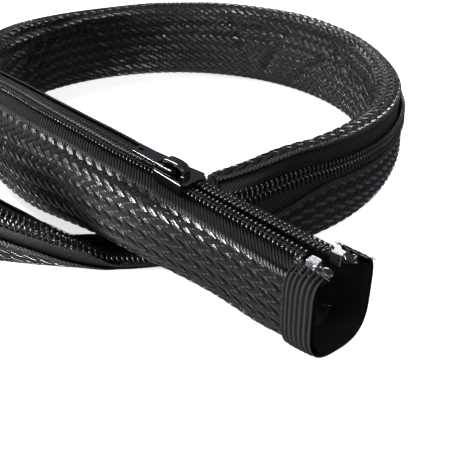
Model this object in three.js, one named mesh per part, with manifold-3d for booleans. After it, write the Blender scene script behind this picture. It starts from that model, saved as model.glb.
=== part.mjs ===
// Zippered cable sleeve: a braided sleeve with a coil zip along its length, coiled in one loop.
// Its mouth end runs straight over the loop and lies with the zip half open.
// Millimetres, +Z up. The zip of the straight run lies along X and its slider stands at x = 0.
import * as THREE from "three";
import { mergeVertices } from "three/addons/utils/BufferGeometryUtils.js";
import Module from "manifold-3d";

// Route of the sleeve on the table, from its mouth: straight lengths and bends
const mouthX = 57.5; // mouth end of the sleeve from the slider
const straightRun = 102.5; // mouth run, straight in plan
const easyBendRadius = 300;
const easyBendAngle = 8.5; // degrees, as all angles here
const linkLength = 20;
const returnBendRadius = 63; // tight bend at the back of the mouth run
const returnBendAngle = 89.5;
const loopRadius = 93; // centre line of the loop
const loopAngle = 216; // up to the place where the mouth run crosses over
const tailBendRadius = 190;
const tailBendAngle = 38;

// Sections of the tube
const mouthHalfOuter = 10.4; // widths are measured from the zip line to either side
const mouthHalfInner = 7.6;
const runHalfOuter = 18; // the mouth run spreads where it lies on the loop
const runHalfInner = 12;
const loopThickness = 15;
const loopHeight = 34;
const runHeight = 37.4;
const zipHeightAtSlider = 31.1;
const zipSlope = 4.1; // degrees, down towards the mouth
const straightTop = 84; // the slope is straight this far from the mouth
const lowerRoundness = 3; // exponent of the lower half of a section: 2 is an ellipse
const flatSpot = 0.5; // how much of the lowest edge is pressed flat on the table

// Crossing of the mouth run over the loop
const pinchHeight = 5.2; // what is left of the loop's height under the mouth run
const crossClearance = 1.9;
const pinchSpread = 6; // the pinched loop spreads inwards

// Braid, zip tapes and coils
const braidWall = 1;
const layerGap = 0.3; // clearance between sewn layers
const tapeWall = 0.5;
const tapeEdge = 1.3; // inner edge of a tape from the zip line
const tapeWidth = 11;
const braidEdge = 9; // edges of the braid from the zip line
const loopBraidEdge = 5.8; // its outer edge in the loop
const zipGroove = 1.3; // the zip lies in a groove along the loop
const coilHalf = 3; // outer edge of a coil from the zip line
const coilHeight = 2.3;
const coilHead = 0.35; // how far a turn's head reaches past the zip line
const toothPitch = 1.6;
const coilGap = 0.12; // half of the gap between the two closed coils
const toothedEnd = 78; // separate turns are shown this far from the mouth
const ridge = 0.35; // relief of the weave
const threadWidth = 0.7;
const threadHeight = 0.5;

// How far the two halves stand apart from the slider to the mouth
const splitStart = -1;
const splitEnd = 5;
const splitAtSlider = 1.15;
const splitOuterMouth = 3.2;
const splitInnerMouth = 0.8;

// Mouth and tail bindings, stops
const bindingWidth = 9.5;
const bindingWall = 1;
const mouthSkew = 0.2; // the inner side of the mouth reaches further than the outer one
const stopLength = 3.2;
const outerStopX = 52;
const innerStopX = 54.5;
const stopWall = 0.5;
const stopToCoil = 1; // between a stop and the first turn

// Slider and pull
const sliderBack = -6; // ends of the slider along the zip
const sliderFront = 8.5;
const sliderHalfBack = 4.2;
const sliderHalfFront = 5.25;
const plateWall = 1.1;
const flangeWall = 0.65;
const runningGap = 0.3;
const pullLift = 0.5; // the pull turns clear of the plate
const slotGap = 0.6; // over and under a tape in the slider's side slots
const wedgeHalf = 0.5;
const crownBack = -4.4;
const crownFront = 5;
const crownRise = 3.6;
const crownWidth = 3;
const crownWall = 1.1;
const pullLength = 19;
const pullWidth = 6;
const pullTipWidth = 4.6;
const pullWall = 1;
const pullHoleLength = 6.2;
const pullHoleHalf = 1.9;
const pullEyeLength = 2.2;
const pullEyeHalf = 0.7;

const rad = THREE.MathUtils.degToRad;
const lerp = THREE.MathUtils.lerp;
const smoothstep = THREE.MathUtils.smoothstep;
const clamp = THREE.MathUtils.clamp;

const cloth = new THREE.MeshStandardMaterial({ color: 0x1a1a1c, roughness: 0.75, metalness: 0 });
const tapeCloth = new THREE.MeshStandardMaterial({ color: 0x202022, roughness: 0.9, metalness: 0 });
const nylon = new THREE.MeshStandardMaterial({ color: 0x141415, roughness: 0.4, metalness: 0 });
const blackMetal = new THREE.MeshStandardMaterial({ color: 0x121214, roughness: 0.25, metalness: 0.8 });
const brightMetal = new THREE.MeshStandardMaterial({ color: 0xc9cacc, roughness: 0.2, metalness: 1 });

// The route as a chain of straight lengths (radius 0) and right-hand bends.
const legs = [
  { radius: 0, length: straightRun },
  { radius: easyBendRadius, length: easyBendRadius * rad(easyBendAngle) },
  { radius: 0, length: linkLength },
  { radius: returnBendRadius, length: returnBendRadius * rad(returnBendAngle) },
  { radius: loopRadius, length: loopRadius * rad(loopAngle) },
  { radius: tailBendRadius, length: tailBendRadius * rad(tailBendAngle) },
];
let legStart = 0;
let place = { x: mouthX, y: 0, heading: Math.PI };
for (const leg of legs) {
  leg.start = legStart;
  leg.from = place;
  place = along(leg, leg.length);
  legStart += leg.length;
}
const sleeveLength = legStart;
const loopStart = legs[4].start;
const crossing = legs[5].start;

// Place and heading at a distance along one leg.
function along(leg, distance) {
  const { x, y, heading } = leg.from;
  if (leg.radius === 0) {
    return { x: x + distance * Math.cos(heading), y: y + distance * Math.sin(heading), heading };
  }
  const next = heading - distance / leg.radius;
  return {
    x: x + leg.radius * (Math.sin(heading) - Math.sin(next)),
    y: y + leg.radius * (Math.cos(next) - Math.cos(heading)),
    heading: next,
  };
}

function routeAt(s) {
  const leg = legs.findLast((l) => l.start <= s) ?? legs[0];
  return along(leg, s - leg.start);
}

// Section rows along the sleeve: half widths to the outer and inner side of the bend, lowest and highest level,
// the roundness of the upper half and the direction of the zip (90 is straight up, 0 is outwards).
const runBottom = pinchHeight + crossClearance;
const zipTop = (s) => zipHeightAtSlider - (mouthX - s) * Math.tan(rad(zipSlope));
const half = loopThickness / 2;
const endLift = layerGap + bindingWall; // the binding lies between the sleeve's end and the table
const sections = [
  { s: 0, outer: mouthHalfOuter, inner: mouthHalfInner, bottom: endLift, top: zipTop(0), crisp: 6, zip: 90 },
  { s: 16, outer: mouthHalfOuter + 0.8, inner: 8.2, bottom: endLift, top: zipTop(16), crisp: 5.5, zip: 90 },
  { s: 34, outer: (mouthHalfOuter + runHalfOuter) / 2, inner: 9, bottom: 4.6, top: zipTop(34), crisp: 5, zip: 90 },
  { s: mouthX, outer: runHalfOuter - 0.5, inner: 10.4, bottom: runBottom, top: zipTop(mouthX), crisp: 5, zip: 90 },
  { s: 79, outer: runHalfOuter + 0.5, inner: runHalfInner, bottom: runBottom, top: zipTop(79), crisp: 5, zip: 90 },
  { s: 101, outer: runHalfOuter - 0.5, inner: 13.4, bottom: 3.5, top: runHeight - 2.4, crisp: 4, zip: 90 },
  { s: 120, outer: runHalfOuter - 2.5, inner: 14, bottom: -flatSpot, top: runHeight - 0.8, crisp: 3.4, zip: 90 },
  { s: 146, outer: 14, inner: 14, bottom: -flatSpot, top: runHeight, crisp: 3, zip: 90 },
  { s: 204, outer: 10, inner: 10, bottom: -flatSpot, top: runHeight, crisp: 3, zip: 72 },
  { s: loopStart, outer: half, inner: half, bottom: -flatSpot, top: loopHeight + 2.5, crisp: 3, zip: 54 },
  { s: loopStart + 130, outer: half, inner: half, bottom: -flatSpot, top: loopHeight + 4, crisp: 3, zip: 48 },
  { s: loopStart + 215, outer: half, inner: half, bottom: -flatSpot, top: loopHeight, crisp: 3, zip: 38 },
  { s: crossing - 45, outer: half, inner: half, bottom: -flatSpot, top: loopHeight, crisp: 3, zip: 54 },
  { s: crossing, outer: half, inner: half + pinchSpread, bottom: -flatSpot, top: loopHeight, crisp: 3, zip: 72 },
  { s: crossing + 20, outer: half, inner: half + 4, bottom: -flatSpot, top: loopHeight, crisp: 3, zip: 78 },
  { s: crossing + 50, outer: half, inner: half + 1, bottom: -flatSpot, top: loopHeight, crisp: 3, zip: 50 },
  { s: sleeveLength - 35, outer: half + 0.5, inner: half + 0.5, bottom: -flatSpot, top: 33, crisp: 3, zip: 42 },
  { s: sleeveLength, outer: half + 0.5, inner: half + 0.5, bottom: endLift, top: 33, crisp: 3, zip: 42 },
];

// A value of the section rows at a distance, by a Catmull-Rom curve through the rows.
function sectionValue(key, s) {
  const i = clamp(sections.findLastIndex((row) => row.s <= s), 0, sections.length - 2);
  const [a, b, c, d] = [i - 1, i, i + 1, i + 2].map((k) => sections[clamp(k, 0, sections.length - 1)]);
  const span = c.s - b.s;
  const t = clamp((s - b.s) / span, 0, 1);
  const slopeB = a === b ? (c[key] - b[key]) / span : (c[key] - a[key]) / (c.s - a.s);
  const slopeC = d === c ? (c[key] - b[key]) / span : (d[key] - b[key]) / (d.s - b.s);
  const t2 = t * t;
  const t3 = t2 * t;
  return (
    (2 * t3 - 3 * t2 + 1) * b[key] +
    (t3 - 2 * t2 + t) * span * slopeB +
    (3 * t2 - 2 * t3) * c[key] +
    (t3 - t2) * span * slopeC
  );
}

// How far each half of the zip stands off its closed place.
function split(s, side) {
  const x = mouthX - s;
  const open = smoothstep(x, splitStart, splitEnd) * splitAtSlider;
  const atMouth = side > 0 ? splitOuterMouth : splitInnerMouth;
  return open + clamp((x - splitEnd) / (mouthX - splitEnd), 0, 1) * (atMouth - splitAtSlider);
}

// The outline of a section as points with their distance from the zip along it: positive distances run over the
// outer side, negative ones over the inner side.
const outlineSteps = 240;
const outlines = new Map();
function outlineAt(s) {
  if (outlines.has(s)) return outlines.get(s);
  const outer = sectionValue("outer", s);
  const inner = sectionValue("inner", s);
  const bottom = sectionValue("bottom", s);
  const top = s <= straightTop ? zipTop(s) : sectionValue("top", s);
  const halfWidth = (outer + inner) / 2;
  const middle = (outer - inner) / 2;
  const halfHeight = (top - bottom) / 2;
  const centre = bottom + halfHeight;
  const crisp = sectionValue("crisp", s);
  const start = rad(sectionValue("zip", s));
  const { x, y, heading } = routeAt(s);
  const power = (value, roundness) => Math.sign(value) * Math.abs(value) ** (2 / roundness);
  const points = [];
  for (let k = 0; k < outlineSteps; k++) {
    const angle = (2 * Math.PI * k) / outlineSteps;
    const roundness = k < outlineSteps / 2 ? crisp : lowerRoundness;
    const w = middle + halfWidth * power(Math.cos(angle), roundness);
    const z = centre + halfHeight * power(Math.sin(angle), roundness);
    // turned so that the zip comes first and the outline then runs over the outer side
    const turn = (start - Math.atan2(z - centre, w) + 4 * Math.PI) % (2 * Math.PI);
    const [px, py] = [x - w * Math.sin(heading), y + w * Math.cos(heading)];
    points.push({ w, z: pressed(px, py, Math.max(z, 0), s), turn });
  }
  points.sort((p, q) => p.turn - q.turn);
  const first = points[0];
  const last = points[points.length - 1];
  const share = (2 * Math.PI - last.turn) / (2 * Math.PI - last.turn + first.turn);
  const zip = { w: lerp(last.w, first.w, share), z: lerp(last.z, first.z, share) };
  const ring = [zip, ...points, { ...zip }];
  let distance = 0;
  ring.forEach((p, k) => {
    if (k > 0) distance += Math.hypot(p.w - ring[k - 1].w, p.z - ring[k - 1].z);
    p.distance = distance;
  });
  const outline = { ring, perimeter: distance };
  outlines.set(s, outline);
  return outline;
}

// A point and its direction outwards, at a distance along a section's outline.
function outlinePoint({ ring, perimeter }, u) {
  const distance = ((u % perimeter) + perimeter) % perimeter;
  let i = 1;
  while (i < ring.length - 1 && ring[i].distance < distance) i++;
  const [p, q] = [ring[i - 1], ring[i]];
  const t = clamp((distance - p.distance) / (q.distance - p.distance || 1), 0, 1);
  return { w: lerp(p.w, q.w, t), z: lerp(p.z, q.z, t) };
}

// A point of the section: u runs along the outline from the zip, o is its offset to the outside.
function sectionPoint(s, u, o) {
  const outline = outlineAt(s);
  const at = outlinePoint(outline, u);
  const before = outlinePoint(outline, u - 0.8);
  const after = outlinePoint(outline, u + 0.8);
  const length = Math.hypot(after.w - before.w, after.z - before.z) || 1;
  const normal = { w: -(after.z - before.z) / length, z: (after.w - before.w) / length };
  const fromZip = Math.min(Math.abs(u), Math.abs(outline.perimeter - u));
  const inLoop = smoothstep(s, loopStart - 60, loopStart) * (1 - smoothstep(s, crossing - 40, crossing - 15));
  const depth = o - zipGroove * inLoop * Math.exp(-((fromZip / 7) ** 2));
  return { w: at.w + normal.w * depth, z: Math.max(at.z + normal.z * depth, 0) };
}

// The loop is pressed flat under the mouth run and rises to its full height beside it.
function pressed(x, y, z, s) {
  if (s < crossing - 60 || s > crossing + 100) return z;
  const run = clamp(mouthX - x, 0, 150);
  const pastInner = y - sectionValue("inner", run);
  const pastOuter = -y - sectionValue("outer", run);
  const room =
    y > 0
      ? lerp(pinchHeight, loopHeight, smoothstep(pastInner, 0.5, 4.5))
      : pinchHeight + Math.max(pastOuter + 1.2, 0);
  return z * Math.min(1, room / loopHeight);
}

// A point of the sleeve in space.
function sleevePoint(s, u, o) {
  const within = clamp(s, 0, sleeveLength);
  const { x, y, heading } = routeAt(within);
  const { w, z } = sectionPoint(within, u, o);
  const forward = s - within + w * mouthSkew * (1 - smoothstep(s, 0, 25));
  return new THREE.Vector3(
    x + forward * Math.cos(heading) - w * Math.sin(heading),
    y + forward * Math.sin(heading) + w * Math.cos(heading),
    z,
  );
}

// A closed solid from rings of points, with a triangulated cap at each end.
function solidFromRings(rings, capContour) {
  const count = rings[0].length;
  const position = rings.flat().flatMap((p) => [p.x, p.y, p.z]);
  const index = [];
  for (let i = 0; i < rings.length - 1; i++) {
    for (let j = 0; j < count; j++) {
      const a = i * count + j;
      const b = i * count + ((j + 1) % count);
      index.push(a, b, b + count, a, b + count, a + count);
    }
  }
  const end = (rings.length - 1) * count;
  for (const [a, b, c] of THREE.ShapeUtils.triangulateShape(capContour, [])) {
    index.push(c, b, a, end + a, end + b, end + c);
  }
  const geometry = new THREE.BufferGeometry();
  geometry.setAttribute("position", new THREE.Float32BufferAttribute(position, 3));
  geometry.setIndex(index);
  return facingOut(geometry);
}

// Turns a solid's faces round if they point inwards.
function facingOut(geometry) {
  const p = geometry.attributes.position;
  const index = geometry.index.array;
  const [a, b, c] = [new THREE.Vector3(), new THREE.Vector3(), new THREE.Vector3()];
  let volume = 0;
  for (let i = 0; i < index.length; i += 3) {
    a.fromBufferAttribute(p, index[i]);
    b.fromBufferAttribute(p, index[i + 1]);
    c.fromBufferAttribute(p, index[i + 2]);
    volume += a.dot(b.cross(c));
  }
  if (volume < 0) for (let i = 0; i < index.length; i += 3) [index[i], index[i + 1]] = [index[i + 1], index[i]];
  geometry.computeVertexNormals();
  return geometry;
}

// Places along the sleeve where its sections are drawn: closer where the loop is pinched.
const stations = [0];
while (stations[stations.length - 1] < sleeveLength) {
  const s = stations[stations.length - 1];
  const step = Math.abs(s - crossing) < 46 ? 3 : s > straightRun + 10 ? 10.5 : 8;
  stations.push(s + step > sleeveLength - 2 ? sleeveLength : s + step);
}

// A strip of the sleeve's wall. Each face has its own offset and its own distances across.
function wallStrip(places, faces, relief) {
  const rings = places.map((s, i) =>
    faces.flatMap(({ offset, across }, face) =>
      across(s).map((u, j, columns) => {
        const weave = relief && face === 0 && j > 0 && j < columns.length - 1 ? relief(i, j, s, u) : 0;
        return sleevePoint(s, u, offset - weave);
      }),
    ),
  );
  // the end faces are triangulated on a plain ring-shaped plan of the strip
  const [first, last] = [faces[0].across(places[0])[0], faces[0].across(places[0]).at(-1)];
  const contour = faces.flatMap(({ across }, face) =>
    across(places[0]).map((u) => {
      const turn = (5.5 * (u - first)) / (last - first);
      return new THREE.Vector2(Math.cos(turn), Math.sin(turn)).multiplyScalar(1 - face * 0.1);
    }),
  );
  return solidFromRings(rings, contour);
}

// Distances spread evenly between two places.
const spread = (from, to, count) => Array.from({ length: count }, (_, j) => lerp(from, to, j / (count - 1)));

const group = new THREE.Group();
function add(name, geometry, material, parent = group) {
  const mesh = new THREE.Mesh(geometry, material);
  mesh.name = name;
  parent.add(mesh);
  return mesh;
}

// Braid: one sheet from the edge of one tape round to the other, with the relief of its weave
const seamEnd = tapeEdge + tapeWidth;
const seamMiddle = (braidEdge + seamEnd) / 2;
const lapped = [braidEdge, seamMiddle, seamEnd]; // distances shared by the braid and a tape beneath it
function outerLapped(s) {
  const inLoop = smoothstep(s, loopStart - 70, loopStart) * (1 - smoothstep(s, crossing - 55, crossing - 32));
  const edge = lerp(braidEdge, loopBraidEdge, inLoop);
  return [edge, edge + (seamEnd - edge) / 2, seamEnd];
}
function braidAcross(s, count) {
  const { perimeter } = outlineAt(clamp(s, 0, sleeveLength));
  const outer = outerLapped(s).map((u) => u + split(s, 1));
  const inner = lapped.map((u) => perimeter - u - split(s, -1)).reverse();
  return [...outer, ...spread(outer[2], inner[0], count).slice(1, -1), ...inner];
}
const braid = wallStrip(
  stations,
  [
    { offset: 0, across: (s) => braidAcross(s, 18) },
    { offset: -braidWall, across: (s) => braidAcross(s, 11).reverse() },
  ],
  (i, j, s, u) => ((i + j) % 2 === 0 && sectionPoint(s, u, 0).z > 1.2 ? ridge : 0),
);
add("braid_sleeve", braid, cloth);

// Zip tapes: sewn under the edges of the braid
const tapeTop = -braidWall - layerGap;
const tapeBottom = tapeTop - tapeWall;
function tape(side) {
  const columns = (s) => (side > 0 ? [tapeEdge, coilHalf, 4.4, ...outerLapped(s)] : [tapeEdge, coilHalf, 6, ...lapped]);
  const across = (s) => columns(s).map((u) => side * (u + split(s, side)));
  return wallStrip(stations, [
    { offset: tapeTop, across },
    { offset: tapeBottom, across: (s) => across(s).reverse() },
  ]);
}
add("zipper_tape_near", tape(1), tapeCloth);
add("zipper_tape_far", tape(-1), tapeCloth);

// Coils: one on each tape, with separate turns where the zip lies open and near the slider
const coilBottom = tapeTop + layerGap;
const coilTop = coilBottom + coilHeight;
function coil(side, start) {
  const places = [];
  for (let s = start + (side > 0 ? 0 : toothPitch / 2); s < toothedEnd; s += toothPitch) {
    const shut = smoothstep(s, mouthX - 5, mouthX - 1);
    places.push({ s, head: lerp(-coilHead, coilGap, shut) });
    places.push({ s: s + toothPitch / 2, head: lerp(coilHead, coilGap * 4, shut) });
  }
  const last = places[places.length - 1].s + 1;
  const end = sleeveLength - bindingWidth;
  const rest = [...stations.filter((s) => s > last && s < end - 1), end];
  places.push(...rest.map((s) => ({ s, head: coilGap })));
  const corners = [[0, 0], [1, -0.1], [2, 0], [2, 1], [0, 1]];
  const contour = corners.map(([x, y]) => new THREE.Vector2(x, y));
  const rings = places.map(({ s, head }) => {
    const inner = side * (head + split(s, side));
    const middle = side * (tapeEdge + split(s, side));
    const outer = side * (coilHalf + split(s, side));
    return [
      sleevePoint(s, inner, coilBottom),
      sleevePoint(s, middle, coilBottom),
      sleevePoint(s, outer, coilBottom),
      sleevePoint(s, outer, coilTop),
      sleevePoint(s, inner, coilTop),
    ];
  });
  return solidFromRings(rings, contour);
}
add("coil_near", coil(1, mouthX - outerStopX + stopToCoil), nylon);
add("coil_far", coil(-1, mouthX - innerStopX + stopToCoil), nylon);

// Bindings: a band round each end of the sleeve, open at the zip, reaching past the end
const bindingEdge = 5.4;
function binding(places) {
  const across = (s) => {
    const { perimeter } = outlineAt(clamp(s, 0, sleeveLength));
    const outer = bindingEdge + split(s, 1);
    return spread(outer, perimeter - bindingEdge - split(s, -1), 28);
  };
  return wallStrip(places, [
    { offset: layerGap + bindingWall, across },
    { offset: layerGap, across: (s) => across(s).reverse() },
  ]);
}
const bandPlaces = [-0.45, -0.15, 0.25, 0.55].map((share) => share * bindingWidth);
add("mouth_binding", binding(bandPlaces), tapeCloth);
add("tail_binding", binding(bandPlaces.map((s) => sleeveLength - s).reverse()), tapeCloth);

// Stops: a metal clip closed round each tape's inner edge at the mouth, and one over both coils at the tail
function endStop(side, x) {
  const profile = new THREE.Shape();
  const inside = tapeEdge - runningGap;
  const reach = coilHalf + 0.2;
  profile.moveTo(inside - stopWall, coilTop - 0.3);
  profile.lineTo(reach, coilTop - 0.3);
  profile.lineTo(reach, tapeTop + layerGap);
  profile.lineTo(inside, tapeTop + layerGap);
  profile.lineTo(inside, tapeBottom - layerGap);
  profile.lineTo(reach, tapeBottom - layerGap);
  profile.lineTo(reach, tapeBottom - layerGap - stopWall);
  profile.lineTo(inside - stopWall, tapeBottom - layerGap - stopWall);
  const s = mouthX - x;
  const geometry = new THREE.ExtrudeGeometry(profile, { depth: stopLength, bevelEnabled: false });
  const mesh = add(side > 0 ? "end_stop_near" : "end_stop_far", geometry, brightMetal, zipFrame);
  // profile x lies across the zip, profile y is up, the depth runs towards the mouth
  mesh.matrixAutoUpdate = false;
  mesh.matrix.makeBasis(
    new THREE.Vector3(0, -side, 0),
    new THREE.Vector3(0, 0, 1),
    new THREE.Vector3(1, 0, 0),
  );
  mesh.matrix.setPosition(x / Math.cos(rad(zipSlope)), -side * split(s - stopLength / 2, side), 0);
}
const zipFrame = new THREE.Group();
zipFrame.position.z = zipHeightAtSlider;
zipFrame.rotation.y = rad(zipSlope);
group.add(zipFrame);
endStop(1, outerStopX);
endStop(-1, innerStopX);

const bottomStopStart = sleeveLength - bindingWidth + runningGap;
const bottomStop = wallStrip(
  [bottomStopStart, bottomStopStart + stopLength],
  [
    { offset: coilTop + 0.2, across: () => spread(-coilHalf, coilHalf, 4) },
    { offset: coilBottom, across: () => spread(coilHalf, -coilHalf, 4) },
  ],
);
add("bottom_stop", bottomStop, brightMetal);

// Slider: two plates joined by a wedge, side flanges over the coils, and an arched crown
const wasm = await Module();
wasm.setup();

// A solid for joining and cutting, from a geometry.
function solidOf(geometry) {
  geometry.deleteAttribute("normal");
  geometry.deleteAttribute("uv");
  const merged = mergeVertices(geometry, 1e-4);
  const mesh = { numProp: 3, vertProperties: merged.attributes.position.array };
  return new wasm.Manifold(new wasm.Mesh({ ...mesh, triVerts: new Uint32Array(merged.index.array) }));
}

// A flat shape given by its corners in plan, between two levels.
function slab(corners, low, high) {
  const shape = new THREE.Shape(corners.map(([x, y]) => new THREE.Vector2(x, y)));
  const geometry = new THREE.ExtrudeGeometry(shape, { depth: high - low, bevelEnabled: false });
  return solidOf(geometry.translate(0, 0, low));
}
const mirrored = (corners) => [...corners, ...corners.map(([x, y]) => [x, -y]).reverse()];

function sliderPlan(inset) {
  const corner = 1.2;
  return mirrored([
    [sliderFront, -(sliderHalfFront - inset - corner)],
    [sliderFront - corner, -(sliderHalfFront - inset)],
    [sliderBack + corner, -(sliderHalfBack - inset)],
    [sliderBack, -(sliderHalfBack - inset - corner)],
  ].reverse());
}
const topPlateBottom = coilTop + runningGap;
const topPlateTop = topPlateBottom + plateWall;
const lowPlateTop = tapeBottom - slotGap;
const flangeBottom = tapeTop + slotGap;
const wedgePlan = mirrored([
  [3.1, -0.15],
  [4.9, -wedgeHalf],
  [sliderFront - 0.6, -wedgeHalf],
]);
const flangeInside = mirrored([
  [sliderBack - 1, -(sliderHalfBack - flangeWall - 0.03)],
  [sliderFront + 1, -(sliderHalfFront - flangeWall + 0.03)],
]);
const flanges = slab(sliderPlan(0), flangeBottom, topPlateBottom + 0.2).subtract(
  slab(flangeInside, flangeBottom - 1, topPlateBottom),
);

// Crown: a bent strip seen from the side
const crownTop = topPlateTop + crownRise;
const crownArc = (shrink, count) => {
  const points = [];
  const middle = (crownBack + crownFront) / 2;
  const reach = (crownFront - crownBack) / 2 - shrink;
  for (let k = 0; k <= count; k++) {
    const angle = (Math.PI * k) / count;
    const across = Math.sign(Math.cos(angle)) * Math.abs(Math.cos(angle)) ** 0.6;
    points.push([middle + reach * across, topPlateTop + (crownRise - shrink) * Math.sin(angle) ** 0.7]);
  }
  return points;
};
const crownSide = [
  [crownFront, topPlateTop - 0.3],
  ...crownArc(0, 12),
  [crownBack, topPlateTop - 0.3],
  [crownBack + crownWall, topPlateTop - 0.3],
  ...crownArc(crownWall, 10).reverse(),
  [crownFront - crownWall, topPlateTop - 0.3],
];
const crown = slab(crownSide, -crownWidth / 2, crownWidth / 2).rotate([90, 0, 0]);

const slider = slab(sliderPlan(0), topPlateBottom, topPlateTop)
  .add(slab(sliderPlan(0.3), lowPlateTop - plateWall, lowPlateTop))
  .add(slab(wedgePlan, lowPlateTop - 0.2, topPlateBottom + 0.2))
  .add(flanges)
  .add(crown);

// Pull: a tapered plate whose eye hangs under the crown, with a small slot at its tip
const hingeX = 1.6;
const pullBottom = topPlateTop + pullLift;
const pullFront = hingeX + 0.7;
const pullBack = pullFront - pullLength;
const pullPlan = mirrored([
  [pullFront, -pullWidth / 2 + 1],
  [pullFront - 1.2, -pullWidth / 2],
  [pullBack + 1, -pullTipWidth / 2],
  [pullBack, -pullTipWidth / 2 + 1],
]);
const eyeFront = pullFront - 1.4;
const eyePlan = mirrored([
  [eyeFront, -pullHoleHalf],
  [eyeFront - pullHoleLength, -pullHoleHalf],
]);
const slotBack = pullBack + 1.3;
const slotPlan = mirrored([
  [slotBack + pullEyeLength, -pullEyeHalf],
  [slotBack, -pullEyeHalf],
]);
const pull = slab(pullPlan, pullBottom, pullBottom + pullWall)
  .subtract(slab(eyePlan, pullBottom - 1, pullBottom + pullWall + 1))
  .subtract(slab(slotPlan, pullBottom - 1, pullBottom + pullWall + 1));

function geometryOf(solid) {
  const { vertProperties, triVerts, numProp } = solid.getMesh();
  const geometry = new THREE.BufferGeometry();
  const position = [];
  for (let i = 0; i < vertProperties.length; i += numProp) position.push(...vertProperties.subarray(i, i + 3));
  geometry.setAttribute("position", new THREE.Float32BufferAttribute(position, 3));
  geometry.setIndex([...triVerts]);
  geometry.computeVertexNormals();
  return geometry;
}
add("slider_body", geometryOf(slider), blackMetal, zipFrame);
add("pull_tab", geometryOf(pull), blackMetal, zipFrame);

// The origin is under the middle of the whole part
const bounds = new THREE.Box3().setFromObject(group, true);
const middle = bounds.getCenter(new THREE.Vector3());
group.position.set(-middle.x, -middle.y, -bounds.min.z);

export default group;
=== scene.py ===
"""Looks of a zippered cable sleeve, coiled in one loop with its open mouth lying on top.

Distances are millimetres until a mesh is made. The sleeve's surface is a function of s, the way along the
sleeve from its mouth, u, the way round the section from the zip, and o, the offset outwards.
"""

import math

import bpy
import numpy as np
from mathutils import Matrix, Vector


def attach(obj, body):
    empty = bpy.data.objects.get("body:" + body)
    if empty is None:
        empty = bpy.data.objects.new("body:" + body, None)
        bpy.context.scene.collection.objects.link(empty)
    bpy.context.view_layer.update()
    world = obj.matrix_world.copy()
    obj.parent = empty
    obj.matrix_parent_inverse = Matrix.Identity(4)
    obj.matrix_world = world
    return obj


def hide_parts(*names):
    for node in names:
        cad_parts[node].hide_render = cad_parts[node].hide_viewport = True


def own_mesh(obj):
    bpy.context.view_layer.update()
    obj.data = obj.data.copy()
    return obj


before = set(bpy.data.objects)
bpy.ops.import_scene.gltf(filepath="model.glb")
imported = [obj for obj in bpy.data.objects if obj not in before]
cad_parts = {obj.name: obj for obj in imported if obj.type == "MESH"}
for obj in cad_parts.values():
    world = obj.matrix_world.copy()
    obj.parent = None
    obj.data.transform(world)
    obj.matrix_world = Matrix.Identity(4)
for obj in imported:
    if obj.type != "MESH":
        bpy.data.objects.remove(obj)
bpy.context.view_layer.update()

# Camera: 0.22 m from the slider, beside the open mouth and looking down on it.
# ORIGIN is the slider's place in the frame, in millimetres, and points are measured from it.
ORIGIN = np.array([53.51697, -49.36361, 0.0])
CAMERA_FROM_SLIDER = Vector((126.2, -124.2, 124.4))
camera_data = bpy.data.cameras.new("camera")
camera_data.angle = math.radians(37.54)
camera_data.clip_start = 0.01
camera = bpy.data.objects.new("camera", camera_data)
camera.location = CAMERA_FROM_SLIDER * 0.001 + Vector(ORIGIN * 0.001)
azimuth, elevation = math.radians(40.5), math.radians(32)
look = Vector(
    (
        -math.sin(azimuth) * math.cos(elevation),
        math.cos(azimuth) * math.cos(elevation),
        -math.sin(elevation),
    )
)
camera.rotation_euler = look.to_track_quat("-Z", "Y").to_euler()
bpy.context.scene.collection.objects.link(camera)
bpy.context.scene.camera = camera

# White studio: the world is white to the camera and softer as a light.
# The tall glint light stands low in front of the near wall and draws the bright dashes on its braid.
world = bpy.data.worlds.new("studio")
bpy.context.scene.world = world
world.use_nodes = True
nodes, links = world.node_tree.nodes, world.node_tree.links
nodes.clear()
output = nodes.new("ShaderNodeOutputWorld")
mix = nodes.new("ShaderNodeMixShader")
paths = nodes.new("ShaderNodeLightPath")
soft, white = nodes.new("ShaderNodeBackground"), nodes.new("ShaderNodeBackground")
soft.inputs["Color"].default_value = (0.8, 0.86, 0.95, 1)
soft.inputs["Strength"].default_value = 0.3
white.inputs["Color"].default_value = (1, 1, 1, 1)
white.inputs["Strength"].default_value = 1.0
links.new(paths.outputs["Is Camera Ray"], mix.inputs["Fac"])
links.new(soft.outputs["Background"], mix.inputs[1])
links.new(white.outputs["Background"], mix.inputs[2])
links.new(mix.outputs["Shader"], output.inputs["Surface"])
bpy.context.scene.view_settings.view_transform = "Standard"
# name, place in metres, width, height, power in watts
for name, at, width, height, power in (
    ("key", (-0.5, -0.05, 0.55), 0.3, 0.3, 6),
    ("back", (-0.2, 0.7, 0.35), 0.2, 0.2, 3),
    ("glint", (-0.34, -0.5, -0.04), 0.16, 0.5, 26),
    ("right", (0.6, 0.1, 0.3), 0.2, 0.2, 2),
):
    light = bpy.data.lights.new(name, "AREA")
    light.shape = "RECTANGLE"
    light.size, light.size_y = width, height
    light.energy = power
    lamp = bpy.data.objects.new(name, light)
    lamp.location = at
    lamp.rotation_euler = (Vector((0, 0, 0.02)) - Vector(at)).to_track_quat("-Z", "Y").to_euler()
    bpy.context.scene.collection.objects.link(lamp)


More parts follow.
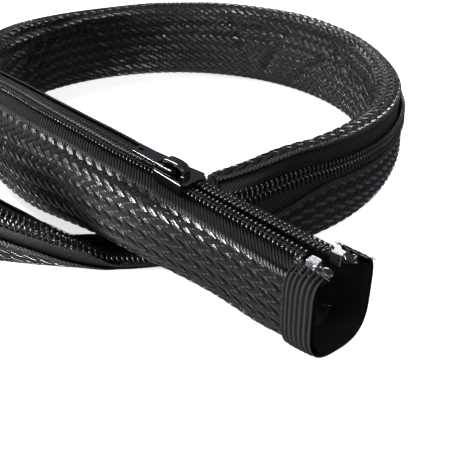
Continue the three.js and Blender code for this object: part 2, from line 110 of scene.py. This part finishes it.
def material(name, color, roughness, metallic=0.0, bump=None, specular=0.5):
    """A principled material. bump is a function that adds a height to the nodes and gives its depth in metres."""
    made = bpy.data.materials.new(name)
    made.use_nodes = True
    shader = made.node_tree.nodes["Principled BSDF"]
    shader.inputs["Base Color"].default_value = (*color, 1)
    shader.inputs["Roughness"].default_value = roughness
    shader.inputs["Metallic"].default_value = metallic
    shader.inputs["Specular IOR Level"].default_value = specular
    if bump:
        height, distance = bump(made.node_tree)
        bumped = made.node_tree.nodes.new("ShaderNodeBump")
        bumped.inputs["Strength"].default_value = 1.0
        bumped.inputs["Distance"].default_value = distance
        made.node_tree.links.new(height, bumped.inputs["Height"])
        made.node_tree.links.new(bumped.outputs["Normal"], shader.inputs["Normal"])
    return made


def mesh(name, points, quads, look, body, uv=None):
    """A smooth mesh object from points in mm about ORIGIN, riding on a body, in a slot."""
    data = bpy.data.meshes.new(name)
    points = (np.asarray(points, float).reshape(-1, 3) + ORIGIN) * 0.001
    quads = np.asarray(quads).reshape(-1, 4)
    data.vertices.add(len(points))
    data.vertices.foreach_set("co", points.ravel())
    data.loops.add(quads.size)
    data.loops.foreach_set("vertex_index", quads.ravel().astype(np.int32))
    data.polygons.add(len(quads))
    data.polygons.foreach_set("loop_start", np.arange(0, quads.size, 4, dtype=np.int32))
    data.update(calc_edges=True)
    data.validate()
    data.polygons.foreach_set("use_smooth", np.ones(len(data.polygons), bool))
    if uv is not None:
        layer = data.uv_layers.new(name="along")
        corner = np.zeros(len(data.loops), np.int32)
        data.loops.foreach_get("vertex_index", corner)
        layer.data.foreach_set("uv", np.asarray(uv, float).reshape(-1, 2)[corner].ravel())
    data.materials.append(look)
    made = bpy.data.objects.new(name, data)
    bpy.context.scene.collection.objects.link(made)
    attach(made, body)
    return made


def grid_quads(rows, columns, around=False):
    """Quads of a grid of rows by columns, closed round the columns if asked."""
    width = columns if around else columns - 1
    i, j = np.meshgrid(np.arange(rows - 1), np.arange(width), indexing="ij")
    a, b = i * columns + j, i * columns + (j + 1) % columns
    return np.stack([a, b, b + columns, a + columns], -1).reshape(-1, 4)


# The sleeve's surface: its route, its sections and the press of the crossing.
# Each leg is a radius (0 where it runs straight) and a length; every bend turns the same way.
MOUTH_X = 57.5
legs = []
leg_start, place = 0.0, (MOUTH_X, 0.0, math.pi)
for radius, length in (
    (0, 102.5),
    (300, 300 * math.radians(8.5)),
    (0, 20),
    (63, 63 * math.radians(89.5)),
    (93, 93 * math.radians(216)),
    (190, 190 * math.radians(38)),
):
    legs.append((leg_start, radius, *place))
    x, y, heading = place
    if radius:
        turned = heading - length / radius
        x += radius * (math.sin(heading) - math.sin(turned))
        y += radius * (math.cos(turned) - math.cos(heading))
        place = (x, y, turned)
    else:
        place = (x + length * math.cos(heading), y + length * math.sin(heading), heading)
    leg_start += length
LENGTH, LOOP_START, CROSSING = leg_start, legs[4][0], legs[5][0]


def route(s):
    """Place and heading at distances s along the sleeve."""
    s = np.asarray(s, float)
    x, y, heading = np.zeros_like(s), np.zeros_like(s), np.zeros_like(s)
    for index, (start, radius, x0, y0, h0) in enumerate(legs):
        end = legs[index + 1][0] if index + 1 < len(legs) else 1e9
        here = (s >= start) & (s < end) if index else s < end
        run = s[here] - start
        if radius:
            turned = h0 - run / radius
            x[here] = x0 + radius * (math.sin(h0) - np.sin(turned))
            y[here] = y0 + radius * (np.cos(turned) - math.cos(h0))
            heading[here] = turned
        else:
            x[here], y[here] = x0 + run * math.cos(h0), y0 + run * math.sin(h0)
            heading[here] = h0
    return x, y, heading


def smoothstep(value, low, high):
    """A soft step from 0 at low to 1 at high."""
    t = np.clip((np.asarray(value, float) - low) / (high - low), 0, 1)
    return t * t * (3 - 2 * t)


ZIP_HEIGHT, ZIP_SLOPE = 31.1, math.radians(4.1)


def zip_top(s):
    """Height of the zip on the mouth run, which rises away from the mouth."""
    return ZIP_HEIGHT - (MOUTH_X - s) * math.tan(ZIP_SLOPE)


# s, half width to the outer and inner side, bottom, top, roundness of the upper half, direction of the zip
sections = np.array(
    [
        (0, 12, 7.8, 1.3, zip_top(0), 6, 90),
        (16, 12.8, 8.3, 1.3, zip_top(16), 5.5, 90),
        (34, 14.2, 9, 4.6, zip_top(34), 5, 90),
        (MOUTH_X, 17.5, 10.4, 7.1, zip_top(MOUTH_X), 5, 90),
        (79, 18.5, 12, 7.1, zip_top(79), 5, 90),
        (101, 17.5, 13.4, 3.5, 35, 4, 90),
        (120, 15.5, 14, -0.5, 36.6, 3.4, 90),
        (146, 14, 14, -0.5, 37.4, 3, 90),
        (204, 10, 10, -0.5, 37.4, 3, 72),
        (LOOP_START, 7.5, 7.5, -0.5, 36.5, 3, 54),
        (LOOP_START + 130, 7.5, 7.5, -0.5, 38, 3, 48),
        (LOOP_START + 215, 7.5, 7.5, -0.5, 34, 3, 38),
        (CROSSING - 45, 7.5, 7.5, -0.5, 34, 3, 54),
        (CROSSING, 7.5, 13.5, -0.5, 34, 3, 72),
        (CROSSING + 20, 7.5, 11.5, -0.5, 34, 3, 78),
        (CROSSING + 50, 7.5, 8.5, -0.5, 34, 3, 50),
        (LENGTH - 35, 8, 8, -0.5, 33, 3, 42),
        (LENGTH, 8, 8, 1.3, 33, 3, 42),
    ]
)


def section_values(s):
    """The section rows at distance s, by a smooth cubic curve through them."""
    i = int(np.clip(np.searchsorted(sections[:, 0], s, "right") - 1, 0, len(sections) - 2))
    b, c = sections[i], sections[i + 1]
    a, d = sections[max(i - 1, 0)], sections[min(i + 2, len(sections) - 1)]
    span = c[0] - b[0]
    t = min(max((s - b[0]) / span, 0), 1)
    slope_b = (c - a) / (c[0] - a[0])
    slope_c = (d - b) / (d[0] - b[0])
    return (
        (2 * t**3 - 3 * t**2 + 1) * b
        + (t**3 - 2 * t**2 + t) * span * slope_b
        + (3 * t**2 - 2 * t**3) * c
        + (t**3 - t**2) * span * slope_c
    )


LOOP_HEIGHT, PRESSED, STEP_UP, SLOW_RISE = 34, 5.2, 20.8, 8


def room_over(x, y, s):
    """Share of the loop's height left at a place: it is pressed flat under the mouth run."""
    if s < CROSSING - 60 or s > CROSSING + 100:
        return np.ones_like(x)
    room = np.empty_like(x)
    for k in range(len(x)):
        run = section_values(min(max(MOUTH_X - x[k], 0), 150))
        if y[k] > 0:
            past = y[k] - run[2]
            room[k] = PRESSED + STEP_UP * smoothstep(past, -2.6, -1.8) + SLOW_RISE * smoothstep(past, -5, 28)
        else:
            room[k] = PRESSED + max(-y[k] - run[1] + 1.2, 0)
    return np.minimum(1, room / LOOP_HEIGHT)


STEP, ROUND, FINE = 1.5, 320, 240
stations = np.append(np.arange(0, LENGTH, STEP), LENGTH)
outline_w, outline_z = np.zeros((len(stations), ROUND + 1)), np.zeros((len(stations), ROUND + 1))
perimeters = np.zeros(len(stations))
for index, s in enumerate(stations):
    _, outer, inner, bottom, top, crisp, zip_angle = section_values(s)
    top = zip_top(s) if s <= 84 else top
    half_width, half_height = (outer + inner) / 2, (top - bottom) / 2
    angle = np.linspace(0, 2 * math.pi, FINE, endpoint=False)
    roundness = np.where(angle < math.pi, crisp, 3)
    c, v = np.cos(angle), np.sin(angle)
    w = (outer - inner) / 2 + half_width * np.sign(c) * np.abs(c) ** (2 / roundness)
    z = bottom + half_height + half_height * np.sign(v) * np.abs(v) ** (2 / roundness)
    direction = np.arctan2(z - bottom - half_height, w)
    turn = (math.radians(zip_angle) - direction + 4 * math.pi) % (2 * math.pi)
    x, y, heading = (value[0] for value in route([s]))
    z = np.maximum(z, 0) * room_over(x - w * math.sin(heading), y + w * math.cos(heading), s)
    order = np.argsort(turn)
    w, z, turn = w[order], z[order], turn[order]
    share = (2 * math.pi - turn[-1]) / (2 * math.pi - turn[-1] + turn[0])
    zip_w, zip_z = w[-1] + (w[0] - w[-1]) * share, z[-1] + (z[0] - z[-1]) * share
    w, z = np.r_[zip_w, w, zip_w], np.r_[zip_z, z, zip_z]
    distance = np.r_[0, np.cumsum(np.hypot(np.diff(w), np.diff(z)))]
    perimeters[index] = distance[-1]
    even = np.linspace(0, distance[-1], ROUND + 1)
    outline_w[index], outline_z[index] = np.interp(even, distance, w), np.interp(even, distance, z)
ahead_w, back_w = np.roll(outline_w[:, :-1], -3, 1), np.roll(outline_w[:, :-1], 3, 1)
ahead_z, back_z = np.roll(outline_z[:, :-1], -3, 1), np.roll(outline_z[:, :-1], 3, 1)
size = np.hypot(ahead_w - back_w, ahead_z - back_z) + 1e-9
normal_w, normal_z = -(ahead_z - back_z) / size, (ahead_w - back_w) / size
normal_w, normal_z = (np.c_[n, n[:, :1]] for n in (normal_w, normal_z))


SPLIT_AT_SLIDER, SPLIT_AT_MOUTH = 1.15, {1: 3.2, -1: 0.8}


def split(s, side):
    """How far each half of the zip stands off its closed place: side 1 is the near half, -1 the far one."""
    x = MOUTH_X - np.asarray(s, float)
    opened = np.clip((x - 5) / (MOUTH_X - 5), 0, 1)
    return smoothstep(x, -1, 5) * SPLIT_AT_SLIDER + opened * (SPLIT_AT_MOUTH[side] - SPLIT_AT_SLIDER)


def perimeter(s):
    """Distance round the section at s."""
    return np.interp(s, stations, perimeters)


CREASES, CREASE_SPACING = 14, 27


def wrinkle(s, w, z):
    """Buckles of the braid inside the bends: folds along the inner wall's top and slanted creases below."""
    inner = smoothstep(-w, 2, 6) * smoothstep(s, LOOP_START - 90, LOOP_START - 20)
    inner *= 1 - smoothstep(s, CROSSING - 60, CROSSING - 25)
    wander = 0.8 * np.sin(s / 31) + 0.5 * np.sin(s / 13 + 1)
    folds = 1.0 * np.sin(2 * math.pi * (z + 1.5 * wander) / 6.2) * smoothstep(z, 17, 26)
    creases = np.zeros_like(z)
    for k in range(CREASES):
        at = LOOP_START - 60 + CREASE_SPACING * k + 7 * math.sin(k * 2.3)
        lean = 0.9 + 0.5 * math.sin(k * 1.7)
        off = s - at - lean * (z - 16) * (1 if k % 3 else -1)
        creases -= (1.3 + 0.5 * math.sin(k)) * np.exp(-((off / 2.6) ** 2))
        creases += 0.6 * np.exp(-(((off - 6) / 4.5) ** 2))
    dents = 0.35 * np.sin(s / 9.5 + z / 7) * np.sin(z / 5.1 + s / 23) * smoothstep(s, 90, 150)
    creases = creases * smoothstep(z, 3, 9) * (1 - smoothstep(z, 30, 35))
    return inner * (folds + creases) + dents * smoothstep(z, 2, 8)


GROOVE_DEPTH, GROOVE_WIDTH, MOUTH_SKEW, SKEW_LENGTH = 1.3, 7, 0.2, 25


def sleeve(s, u, o, wrinkled=True):
    """Points of the sleeve: bilinear between the sections, offset along the section's normal."""
    s, u, o = np.broadcast_arrays(np.asarray(s, float), np.asarray(u, float), np.asarray(o, float))
    within = np.clip(s, 0, LENGTH)
    row = np.clip(within / STEP, 0, len(stations) - 1.001)
    i = np.minimum(row.astype(int), len(stations) - 2)
    t = (within - stations[i]) / (stations[i + 1] - stations[i])
    column = (u / perimeter(within) % 1.0) * ROUND
    j = np.minimum(column.astype(int), ROUND - 1)
    r = column - j

    def at(values):
        near = values[i, j] * (1 - r) + values[i, j + 1] * r
        far = values[i + 1, j] * (1 - r) + values[i + 1, j + 1] * r
        return near * (1 - t) + far * t

    w, z, nw, nz = at(outline_w), at(outline_z), at(normal_w), at(normal_z)
    from_zip = np.minimum(np.abs(u), np.abs(perimeter(within) - u))
    in_loop = smoothstep(within, LOOP_START - 60, LOOP_START)
    in_loop *= 1 - smoothstep(within, CROSSING - 40, CROSSING - 15)
    depth = o - GROOVE_DEPTH * in_loop * np.exp(-((from_zip / GROOVE_WIDTH) ** 2))
    if wrinkled:
        depth = depth + wrinkle(within, w, z) * smoothstep(from_zip, 9, 14)
    w, z = w + nw * depth, np.maximum(z + nz * depth, 0.02)
    x, y, heading = route(within)
    forward = s - within + w * MOUTH_SKEW * (1 - smoothstep(s, 0, SKEW_LENGTH))
    return np.stack(
        [
            x + forward * np.cos(heading) - w * np.sin(heading),
            y + forward * np.sin(heading) + w * np.cos(heading),
            z,
        ],
        -1,
    )


# Braid: flat ribbons of monofilament in a two-over-two twill, over a dark sheet that closes their gaps; the sheet
# is painted shade for the dark inside of the sleeve.
# The left-hand ribbons are glossy and narrow, and the right-hand ones dull and wider.
def filament_bump(tree):
    """Three round filaments side by side in each ribbon."""
    coordinate = tree.nodes.new("ShaderNodeUVMap")
    split_uv = tree.nodes.new("ShaderNodeSeparateXYZ")
    wave = tree.nodes.new("ShaderNodeMath")
    wave.operation = "MULTIPLY"
    wave.inputs[1].default_value = 6 * math.pi
    sine = tree.nodes.new("ShaderNodeMath")
    sine.operation = "SINE"
    bend = tree.nodes.new("ShaderNodeMath")
    bend.operation = "ABSOLUTE"
    tree.links.new(coordinate.outputs["UV"], split_uv.inputs["Vector"])
    tree.links.new(split_uv.outputs["X"], wave.inputs[0])
    tree.links.new(wave.outputs["Value"], sine.inputs[0])
    tree.links.new(sine.outputs["Value"], bend.inputs[0])
    return bend.outputs["Value"], 0.00022


ribbon_looks = {
    "braid_ribbons_right": material("monofilament_right", (0.005, 0.005, 0.006), 0.5, 0.0, filament_bump, 0.12),
    "braid_ribbons_left": material("monofilament_left", (0.007, 0.007, 0.008), 0.2, 0.0, filament_bump, 1.0),
}
# The near-black sheet under the ribbons is painted shade: it stands for the shadowed inside of the sleeve seen
# through the gaps.
shade_sheet_look = material("braid_shadow", (0.004, 0.004, 0.004), 0.9)
BRAID_EDGE, LOOP_EDGE_SHIFT, BRAID_WIDTH, SHADE_SHEET_DEPTH = 9.0, 4.2, 78.0, 0.55


def near_edge(s):
    """The braid's outer edge from the zip: it moves up to the coil in the loop."""
    in_loop = smoothstep(s, LOOP_START - 70, LOOP_START) * (1 - smoothstep(s, CROSSING - 55, CROSSING - 32))
    return BRAID_EDGE - LOOP_EDGE_SHIFT * in_loop


def braid_u(s, v):
    """Distance round the section at a share v of the braid's width."""
    first = near_edge(s) + split(s, 1)
    last = perimeter(s) - BRAID_EDGE - split(s, -1)
    return first + (last - first) * v


rows = np.arange(0, LENGTH + 0.1, STEP)
columns = np.linspace(0, 1, 72)
s, v = np.meshgrid(np.minimum(rows, LENGTH), columns, indexing="ij")
# The painted shade sheet lies just under the ribbons, where the braid's inside shows only as shade.
shade_sheet = mesh(
    "braid_painted_shade",
    sleeve(s, braid_u(s, v), -SHADE_SHEET_DEPTH),
    grid_quads(*s.shape),
    shade_sheet_look,
    "sleeve",
)
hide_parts("braid_sleeve")

PITCH, RISE, CROWN, DEPTH = 2.5, 0.24, 0.1, 0.38
SLANT_ALONG, SLANT_ROUND = 0.92, 0.5
# name, side, half of a ribbon's width as a share of the pitch
for family, side, half in (("braid_ribbons_right", 1, 0.34), ("braid_ribbons_left", -1, 0.3)):
    last = int((LENGTH / (2 * SLANT_ALONG) + BRAID_WIDTH) / PITCH) + 2
    ribbons = np.arange(int(-BRAID_WIDTH / PITCH) - 1, last)
    crossings = np.arange(2 * ribbons[0], 2 * ribbons[-1]) / 2
    across = np.linspace(-half, half, 4)
    i, a, c = np.meshgrid(ribbons, crossings, across, indexing="ij")
    along, aside = a * PITCH, (i + c) * PITCH
    p, q = (along + aside) * SLANT_ALONG, side * (along - aside) * SLANT_ROUND

    def over(crossing):
        """1 where this ribbon is on top at a crossing, -1 where it is below."""
        first, second = (i, crossing) if side > 0 else (crossing, i)
        return np.where((first - second) % 4 < 2, 1.0, -1.0) * side

    whole = np.floor(a)
    height = np.where(a == whole, over(whole), (over(whole) + over(whole + 1)) / 2)
    offset = -DEPTH + RISE * height + CROWN * (1 - (c / half) ** 2)
    inside = (p > -0.6) & (p < LENGTH + 0.6) & (q > 0.0) & (q < BRAID_WIDTH)
    n_a, n_c = len(crossings), len(across)
    first = np.arange(len(ribbons))[:, None, None] * n_a * n_c
    corner = first + np.arange(n_a - 1)[None, :, None] * n_c + np.arange(n_c - 1)[None, None, :]
    quads = np.stack([corner, corner + 1, corner + n_c + 1, corner + n_c], -1).reshape(-1, 4)
    quads = quads[inside.ravel()[quads].all(1)]
    used, quads = np.unique(quads, return_inverse=True)
    p, q, offset = (value.ravel()[used] for value in (p, q, offset))
    points = sleeve(p, braid_u(p, q / BRAID_WIDTH), offset)
    uv = np.stack([c.ravel()[used] / half / 2 + 0.5, a.ravel()[used]], -1)
    mesh(family, points, quads.reshape(-1, 4), ribbon_looks[family], "sleeve", uv)


# Zip tapes: knitted bands under the braid's hems.
# Their slanted ribs and grain are a bump, and two low ribs run along each.
def knit_bump(tree):
    """Slanted ribs with a fine grain."""
    coordinate = tree.nodes.new("ShaderNodeUVMap")
    wave = tree.nodes.new("ShaderNodeTexWave")
    wave.bands_direction = "DIAGONAL"
    wave.inputs["Scale"].default_value = 0.5
    wave.inputs["Distortion"].default_value = 1.2
    grain = tree.nodes.new("ShaderNodeTexNoise")
    grain.inputs["Scale"].default_value = 1.9
    both = tree.nodes.new("ShaderNodeMath")
    tree.links.new(coordinate.outputs["UV"], wave.inputs["Vector"])
    tree.links.new(coordinate.outputs["UV"], grain.inputs["Vector"])
    tree.links.new(wave.outputs["Fac"], both.inputs[0])
    tree.links.new(grain.outputs["Fac"], both.inputs[1])
    return both.outputs["Value"], 0.0005


tape_look = material("zip_tape", (0.007, 0.007, 0.008), 0.6, 0.0, knit_bump, 0.15)
TAPE_INNER, TAPE_OUTER, TAPE_COLUMNS, TAPE_DEPTH, TAPE_THICK = 1.3, 9.4, 14, 1.3, 0.5
for name, side in (("zipper_tape_near", 1), ("zipper_tape_far", -1)):
    rows = np.append(np.arange(0, LENGTH, 1.2), LENGTH)
    columns = np.r_[np.linspace(TAPE_INNER, TAPE_OUTER, TAPE_COLUMNS), TAPE_OUTER, TAPE_INNER]
    under = np.r_[np.zeros(TAPE_COLUMNS), 1, 1]
    s, u = np.meshgrid(rows, columns, indexing="ij")
    rib = 0.12 * np.exp(-(((u - 5.2) / 0.5) ** 2)) + 0.08 * np.exp(-(((u - 7.4) / 0.4) ** 2))
    offset = -TAPE_DEPTH + rib * (1 - under) - TAPE_THICK * under
    points = sleeve(s, side * (u + split(s, side)), offset)
    uv = np.stack([s, u], -1)
    tape = mesh(name + "_knit", points, grid_quads(*s.shape, True), tape_look, "sleeve", uv)
    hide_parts(name)

# Hems: an overlocked edge of the braid on each tape, a low roll with a ripple for each stitch.
hem_look = material("hem", (0.008, 0.008, 0.009), 0.55, 0.0, knit_bump, 0.25)
for name, side in (("hem_near", 1), ("hem_far", -1)):
    rows = np.append(np.arange(0, LENGTH, 0.8), LENGTH)
    columns = np.linspace(-0.3, 1.6, 7)
    s, u = np.meshgrid(rows, columns, indexing="ij")
    u = u + (near_edge(s) if side > 0 else BRAID_EDGE)
    swell = 0.42 * np.sin(np.linspace(0, math.pi, 7)) ** 0.6 + 0.1 * np.sin(2 * math.pi * s / 1.6 + u)
    points = sleeve(s, side * (u + split(s, side)), -0.35 + swell)
    mesh(name, points, grid_quads(*s.shape), hem_look, "sleeve", np.stack([s, u], -1))


def tube(path, radius, sides):
    """Rings of a tube along paths of points: (path points, sides, 3)."""
    along = np.gradient(path, axis=0)
    along /= np.linalg.norm(along, axis=-1, keepdims=True) + 1e-9
    up = np.broadcast_to(np.array([0.3, 0.2, 0.93]), along.shape)
    right = np.cross(along, up)
    right /= np.linalg.norm(right, axis=-1, keepdims=True) + 1e-9
    up = np.cross(right, along)
    turn = np.linspace(0, 2 * math.pi, sides, endpoint=False)
    radius = np.broadcast_to(np.asarray(radius, float), path.shape[:1])[:, None, None]
    return path[:, None] + radius * (
        np.cos(turn)[None, :, None] * right[:, None] + np.sin(turn)[None, :, None] * up[:, None]
    )


# Coils: flattened turns of monofilament with thickened heads, held down by two rows of stitches.
# The open part, from the mouth to the slider, is a piece of its own.
coil_look = material("coil", (0.006, 0.006, 0.007), 0.25, 0.0, None, 0.6)
stitch_look = material("stitches", (0.008, 0.008, 0.009), 0.7, 0.0, None, 0.1)
TOOTH, TURN_POINTS, COIL_MIDDLE, COIL_REACH, COIL_LIFT = 1.6, 12, 1.22, 1.52, 0.72
COIL_THREAD, COIL_HEAD, STITCH_THREAD, STITCH_TOP = 0.42, 0.12, 0.13, 1.14
COIL_END, OPEN_END = LENGTH - 9.5, MOUTH_X - 3


def closes_up(piece):
    """Gives an open half of the zip a mesh of its own."""
    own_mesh(piece)


for name, side, start in (("coil_near", 1, MOUTH_X - 51), ("coil_far", -1, MOUTH_X - 53.5)):
    begin = start if side > 0 else start + TOOTH / 2 - ((start - (MOUTH_X - 51)) % TOOTH)
    t = np.arange(0, (COIL_END - begin) / TOOTH, 1 / TURN_POINTS)
    angle = 2 * math.pi * t
    reach = COIL_REACH * np.sign(np.cos(angle)) * np.abs(np.cos(angle)) ** 0.75
    lift = COIL_LIFT * np.sign(np.sin(angle)) * np.abs(np.sin(angle)) ** 0.75
    s = begin + TOOTH * t
    path = sleeve(s, side * (COIL_MIDDLE + reach + split(s, side)), 0.14 + lift, False)
    head = np.exp(-(((reach + 1.5) / 0.5) ** 2))
    rings = tube(path, COIL_THREAD + COIL_HEAD * head, 6)
    shut = s > OPEN_END
    turn_quads = grid_quads(int(shut.sum()), 6, True)
    open_quads = grid_quads(int((~shut).sum()), 6, True)
    closed = mesh(name + "_turns", rings[shut], turn_quads, coil_look, "sleeve")
    loose = mesh(name + "_open", rings[~shut], open_quads, coil_look, "sleeve")
    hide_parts(name)
    closes_up(loose)
    for row, u in (("inner", 1.15), ("outer", 2.3)):
        s = np.arange(start, COIL_END, 0.5)
        bob = 0.18 * np.abs(np.sin(math.pi * s / TOOTH))
        path = sleeve(s, side * (u + split(s, side)), STITCH_TOP + bob, False)
        rings = tube(path, STITCH_THREAD, 4)
        for part, chosen in (("", s > OPEN_END), ("_open", s <= OPEN_END)):
            quads = grid_quads(int(chosen.sum()), 4, True)
            seam = mesh(f"{name}_{row}{part}", rings[chosen], quads, stitch_look, "sleeve")
            if part:
                closes_up(seam)


# Bindings: a ribbed knitted band over each end, from one half of the zip round to the other.
# A lining of the same knit faces the inside.
def rib_bump(tree):
    """Fine ribs across the band."""
    coordinate = tree.nodes.new("ShaderNodeUVMap")
    wave = tree.nodes.new("ShaderNodeTexWave")
    wave.bands_direction = "Y"
    wave.inputs["Scale"].default_value = 1.6
    wave.inputs["Distortion"].default_value = 2.0
    wave.inputs["Detail Scale"].default_value = 3.0
    tree.links.new(coordinate.outputs["UV"], wave.inputs["Vector"])
    return wave.outputs["Fac"], 0.0003


binding_look = material("binding", (0.006, 0.006, 0.007), 0.75, 0.0, rib_bump, 0.2)
BAND_OUT, BAND_IN, BAND_ROWS, BAND_EDGE = -4.3, 5.2, 58, 5.4
for name, at, way in (("mouth_binding", 0.0, 1), ("tail_binding", LENGTH, -1)):
    rows = at + way * np.linspace(BAND_OUT, BAND_IN, BAND_ROWS)
    columns = np.linspace(0, 1, 640)
    s, v = np.meshgrid(rows, columns, indexing="ij")
    near = np.clip(s, 0, LENGTH)
    first = BAND_EDGE + split(near, 1)
    u = first + (perimeter(near) - BAND_EDGE - split(near, -1) - first) * v
    ends = np.sin(np.linspace(0.12, math.pi - 0.12, BAND_ROWS))[:, None] ** 0.3
    ribs = 0.22 * np.sin(2 * math.pi * s / 1.5) + 0.17 * np.abs(np.sin(math.pi * v * 130 + 2.1 * s))
    quads, uv = grid_quads(*s.shape), np.stack([s, u], -1)
    outside = sleeve(s, u, 0.25 + 0.85 * ends + ribs, False)
    band = mesh(name + "_knit", outside, quads, binding_look, "sleeve", uv)
    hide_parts(name)
    inside = sleeve(s, u, -1.0 + 1.1 * (1 - ends), False)
    mesh(name + "_lining", inside, quads, binding_look, "sleeve", uv)

# Mouth: the cut tapes are melted at their ends, and the binding is frayed beside them.
# Each melted end is an uneven lump wrapped over the tape, and the fray is short loose fibres.
random = np.random.default_rng(7)
melted_look = material("melted_end", (0.006, 0.006, 0.007), 0.12, 0.0, None, 0.9)
for name, side, middle in (("melted_end_near", 1, 3.3), ("melted_end_far", -1, 2.8)):
    lat = np.linspace(0.02, math.pi - 0.02, 22)
    lon = np.linspace(0, 2 * math.pi, 28, endpoint=False)
    lat, lon = np.meshgrid(lat, lon, indexing="ij")
    lump = 1 + 0.14 * np.sin(3 * lon + 2 * lat) + 0.1 * np.sin(5 * lat + lon * 2)
    s = 0.6 + 2.6 * np.sin(lat) * np.cos(lon) * lump - 1.2
    u = side * (middle + split(0, side) + 2.1 * np.sin(lat) * np.sin(lon) * lump)
    points = sleeve(s, u, -0.4 + 1.3 * np.cos(lat) * lump, False)
    mesh(name, points, grid_quads(*s.shape, True), melted_look, "sleeve")
fray_look = material("frayed_ends", (0.02, 0.02, 0.022), 0.4, 0.0, None, 0.6)
FIBRES, FIBRE_POINTS, FIBRE_SIDES = 150, 6, 3
rings, quads = [], []
for k in range(FIBRES):
    side = 1 if k % 2 else -1
    s0, u0 = random.uniform(-4.2, 5.5), 5.3 + random.uniform(-0.6, 1.2)
    t = np.linspace(0, 1, FIBRE_POINTS)
    bend, spread, rise = random.normal(0, 1.6), random.normal(0, 1.0), random.uniform(0.6, 1.9)
    u = side * (u0 + split(max(s0, 0), side) + spread * t)
    path = sleeve(s0 + bend * t**2, u, 0.6 + rise * t * (1.4 - t), False)
    quads.append(grid_quads(FIBRE_POINTS, FIBRE_SIDES, True) + FIBRE_POINTS * FIBRE_SIDES * k)
    rings.append(tube(path, 0.07, FIBRE_SIDES).reshape(-1, 3))
mesh("mouth_fray", np.concatenate(rings), np.concatenate(quads), fray_look, "sleeve")

# Metal: the slider, its pull and the clips keep their own shape, with softened edges.
# The slider and the pull are lacquered black, and the clips are bright.
black_metal = material("slider_lacquer", (0.002, 0.002, 0.0022), 0.1, 0.0, None, 0.75)
bright_metal = material("clip_metal", (0.75, 0.76, 0.78), 0.22, 1.0)
# name, material, width of the softened edge in mm
for name, look_of, width in (
    ("slider_body", black_metal, 0.28),
    ("pull_tab", black_metal, 0.22),
    ("end_stop_near", bright_metal, 0.15),
    ("end_stop_far", bright_metal, 0.15),
    ("bottom_stop", bright_metal, 0.15),
):
    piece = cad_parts[name]
    piece.data.materials.clear()
    piece.data.materials.append(look_of)
    weld = piece.modifiers.new("weld", "WELD")
    weld.merge_threshold = 1e-6
    dissolve = piece.modifiers.new("flat", "DECIMATE")
    dissolve.decimate_type = "DISSOLVE"
    dissolve.angle_limit = math.radians(2)
    bevel = piece.modifiers.new("soft edges", "BEVEL")
    bevel.width = width * 0.001
    bevel.segments = 3
    bevel.limit_method = "ANGLE"
    bevel.angle_limit = math.radians(35)

# Floor: a white table that lights the underside a little, so that shadows on it stay faint.
floor_look = material("floor", (0.9, 0.9, 0.9), 0.6)
shader = floor_look.node_tree.nodes["Principled BSDF"]
shader.inputs["Emission Color"].default_value = (1, 1, 1, 1)
shader.inputs["Emission Strength"].default_value = 0.7
bpy.ops.mesh.primitive_plane_add(size=6)
floor = bpy.context.object
floor.name = "floor"
# The glint light reaches below the floor, so the floor casts no shadow and shows in no reflection.
floor.visible_shadow = floor.visible_glossy = False
floor.data.materials.append(floor_look)
